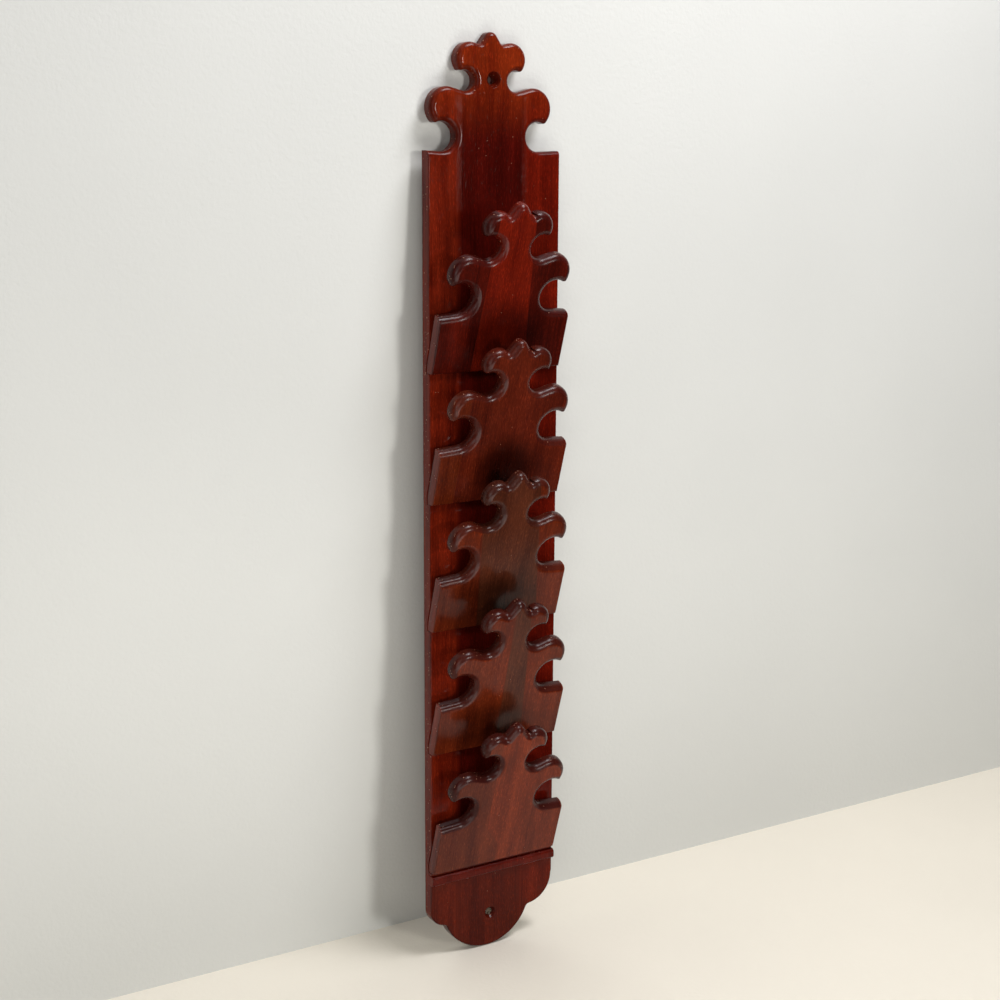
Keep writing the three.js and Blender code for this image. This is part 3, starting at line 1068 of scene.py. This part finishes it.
def plate_wood(tier):
    origin = (0, FRONT - PROUD, FEET[tier])
    seed = 3 + 5 * tier
    return wood(f"plate_wood_{tier + 1}", seed, origin, TILT, PLATE_THICKNESS, **PLATE_WOOD[tier])


def batten_wood():
    """The batten's wood, its grain upright like the board's."""
    origin = (0, batten_low.y, batten_low.z)
    return wood("batten_wood", 31, origin, 0, BATTEN_DEPTH, **BATTEN_WOOD)


# ------------------------------------------------------------------ steel

STEEL = rgb(104, 96, 84)
DIRTY_STEEL = rgb(52, 44, 36)
BRIGHT_STEEL = rgb(206, 202, 192)
DIRT = (2.2, 2.2, 2.2)
DIRT_SPAN = (0.42, 0.62)
SCRATCH = (0.15, 0.15, 3.5)
SCRATCH_SPAN = (0.55, 0.7)
SCRATCH_SHARE = 0.4
SCRATCH_RELIEF = 0.03
STEEL_ROUGHNESS = (0.28, 0.55)  # where clean, and where dirty


def steel():
    """Dull zinc-plated steel, dirty in places and scratched."""
    sh = Shader("screw_steel")
    local = sh.scaled(sh.place(), (1 / MM,) * 3)
    dirt = sh.span(sh.noise(local, DIRT, 3.0, 0.6), *DIRT_SPAN)
    scratch = sh.span(sh.noise(local, SCRATCH, 1.0), *SCRATCH_SPAN)
    colour = sh.mix(dirt, STEEL, DIRTY_STEEL)
    sh.look({
        "Base Color": sh.mix(sh.times(scratch, SCRATCH_SHARE), colour, BRIGHT_STEEL),
        "Roughness": sh.span(dirt, 0.0, 1.0, *STEEL_ROUGHNESS),
        "Normal": sh.bump(scratch, SCRATCH_RELIEF),
        "Metallic": 1.0,
    })
    return sh.material


# ------------------------------------------------------------------ the rack

def make_rack():
    metal = steel()
    finished(backboard(), "rack_backboard", board_wood(), "board_wood", "backboard")
    for tier, name in enumerate(PLATES):
        finished(plate(tier), f"rack_{name}", plate_wood(tier), "plate_wood", name)
        make_pair(name, metal, PLATE_SCREWS, FEET[tier] + PLATE_SCREWS["rise"])
    finished(batten(), "rack_batten", batten_wood(), "batten_wood", "batten")
    make_pair("batten", metal, BATTEN_SCREWS, BATTEN_MIDDLE)
    screw("lower_screw", metal, **LOWER_SCREW, x=LOWER_HOLE["x"], y=FRONT + LOWER_HOLE["sink"],
          z=BOTTOM + LOWER_HOLE["rise"], points=1)


def make_pair(owner, metal, screws, z):
    for side, x in (("left", -screws["x"]), ("right", screws["x"])):
        screw(f"{owner}_screw_{side}", metal, screws["length"], screws["turn"], x, -SET_IN, z)


# ------------------------------------------------------------------ camera

CAMERA_PLACE = (-0.8042, -1.3505, 0.3403)
CAMERA_YAW = math.radians(31.215)  # towards +X from straight ahead
CAMERA_PITCH = math.radians(-11.827)
CAMERA_ROLL = math.radians(0.268)
CAMERA_LENS = 60.03
SENSOR = 36


def make_camera():
    data = bpy.data.cameras.new("camera")
    data.lens = CAMERA_LENS
    data.sensor_width = SENSOR
    camera = linked("camera", data)
    camera.location = CAMERA_PLACE
    turn = Matrix.Rotation(-CAMERA_YAW, 3, "Z") @ Matrix.Rotation(math.pi / 2 + CAMERA_PITCH, 3, "X")
    camera.rotation_euler = (turn @ Matrix.Rotation(CAMERA_ROLL, 3, "Z")).to_euler()
    bpy.context.scene.camera = camera


# ------------------------------------------------------------------ stage, in metres

LEAN = math.radians(4.75)  # of the board on the wall, which here leans instead of the board
WALL_GAP = 0.001  # from the wall to the top of the board's back
FLOOR_FRONT = -0.36
REACH = 3.0
FLOOR_COLOUR = rgb(216, 210, 196)
WALL_COLOUR = rgb(196, 197, 193)
MOTTLE = (0.3, 0.3, 0.3)
MOTTLE_LEVELS = (0.3, 0.7, 0.96, 1.0)
STIPPLE = (0.004, 0.004, 0.004)
STIPPLE_RELIEF = 0.25  # mm
PAINT_ROUGHNESS = 0.7


def sheet(name, corners, material):
    mesh = bpy.data.meshes.new(name)
    mesh.from_pydata(corners, [], [(0, 1, 2, 3)])
    mesh.materials.append(material)
    linked(name, mesh)


def painted(name, colour):
    """Plain matt paint, faintly mottled and stippled."""
    sh = Shader(name)
    mottle = sh.noise(sh.place(), MOTTLE, 2.0)
    stipple = sh.noise(sh.place(), STIPPLE, 2.0)
    sh.look({
        "Base Color": sh.shaded(colour, sh.span(mottle, *MOTTLE_LEVELS)),
        "Roughness": PAINT_ROUGHNESS,
        "Normal": sh.bump(stipple, STIPPLE_RELIEF),
    })
    return sh


def see_through(sh):
    """Makes a material clear from behind and to shadows, so that the rack's back is seen and lit."""
    behind = sh.node("ShaderNodeNewGeometry", {}).outputs["Backfacing"]
    shadow = sh.node("ShaderNodeLightPath", {}).outputs["Is Shadow Ray"]
    share = sh.math("MAXIMUM", behind, shadow)
    clear = sh.node("ShaderNodeBsdfTransparent", {}).outputs[0]
    both = sh.node("ShaderNodeMixShader", {0: share, 1: sh.surface.outputs[0], 2: clear})
    sh.put(sh.tree.nodes["Material Output"].inputs["Surface"], both.outputs[0])


def make_stage():
    low = BOTTOM * MM
    high = low + REACH
    floor = [(-REACH, FLOOR_FRONT, low), (REACH, FLOOR_FRONT, low), (REACH, REACH, low),
             (-REACH, REACH, low)]
    sheet("floor", floor, painted("floor", FLOOR_COLOUR).material)

    def on_wall(x, z):
        return x, WALL_GAP + (TOP * MM - z) * math.tan(LEAN), z

    paint = painted("wall", WALL_COLOUR)
    see_through(paint)
    corners = [on_wall(-REACH, low), on_wall(REACH, low), on_wall(REACH, high), on_wall(-REACH, high)]
    sheet("wall", corners, paint.material)


# ------------------------------------------------------------------ light, in metres and watts

LAMPS = {
    "key": {"place": (0.72, -2.8, 0.42), "target": (0, 0, 0),
            "size": (0.45, 0.45), "power": 32, "colour": (1, 0.98, 0.95)},
    "fill": {"place": (-1.9, -2.3, 0.9), "target": (0, 0, 0),
             "size": (2.2, 1.8), "power": 13, "colour": (1, 0.99, 0.97)},
    "bounce": {"place": (-0.2, -1.2, -0.8), "target": (0, 0, 0),
               "size": (1.4, 0.7), "power": 11, "colour": (1, 0.96, 0.9)},
    "overhead": {"place": (0.4, -0.65, 1.4), "target": (0, -0.1, -0.1),
                 "size": (0.65, 0.5), "power": 25, "colour": (0.97, 0.96, 1)},
    "ceiling": {"place": (0, -0.8, 2.4), "target": (0, -0.3, 0),
                "size": (3, 2.5), "power": 15, "colour": (1, 0.98, 0.98)},
    "low_left": {"place": (-1.0, -1.3, -0.15), "target": (-0.25, 0, -0.4),
                 "size": (0.6, 0.4), "power": 3.5, "colour": (1, 0.99, 0.96)},
    "rear": {"place": (0.4, 2.0, 0.9), "target": (0, 0, 0),
             "size": (1.5, 1.2), "power": 12, "colour": (1, 1, 1)},
}
BACKDROP = rgb(216, 216, 212)
AMBIENT = (0.9, 0.92, 1, 1)
AMBIENT_STRENGTH = 0.035


def make_lamp(name, place, target, size, power, colour):
    data = bpy.data.lights.new(name, "AREA")
    data.shape = "RECTANGLE"
    data.size, data.size_y = size
    data.energy = power
    data.color = colour
    lamp = linked(name, data)
    lamp.location = place
    lamp.rotation_euler = (Vector(target) - Vector(place)).to_track_quat("-Z", "Y").to_euler()


def make_world():
    """A faint even light all round, and a plain pale backdrop where the view runs past the stage."""
    world = bpy.data.worlds.new("world")
    bpy.context.scene.world = world
    world.use_nodes = True
    nodes, links = world.node_tree.nodes, world.node_tree.links
    seen, unseen = nodes["Background"], nodes.new("ShaderNodeBackground")
    seen.inputs["Color"].default_value = BACKDROP
    seen.inputs["Strength"].default_value = 1.0
    unseen.inputs["Color"].default_value = AMBIENT
    unseen.inputs["Strength"].default_value = AMBIENT_STRENGTH
    both = nodes.new("ShaderNodeMixShader")
    links.new(nodes.new("ShaderNodeLightPath").outputs["Is Camera Ray"], both.inputs[0])
    links.new(unseen.outputs[0], both.inputs[1])
    links.new(seen.outputs[0], both.inputs[2])
    links.new(both.outputs[0], nodes["World Output"].inputs["Surface"])


def make_light():
    for name, lamp in LAMPS.items():
        make_lamp(name, **lamp)
    make_world()
    bpy.context.scene.view_settings.view_transform = "Standard"


make_camera()
make_rack()
make_stage()
make_light()
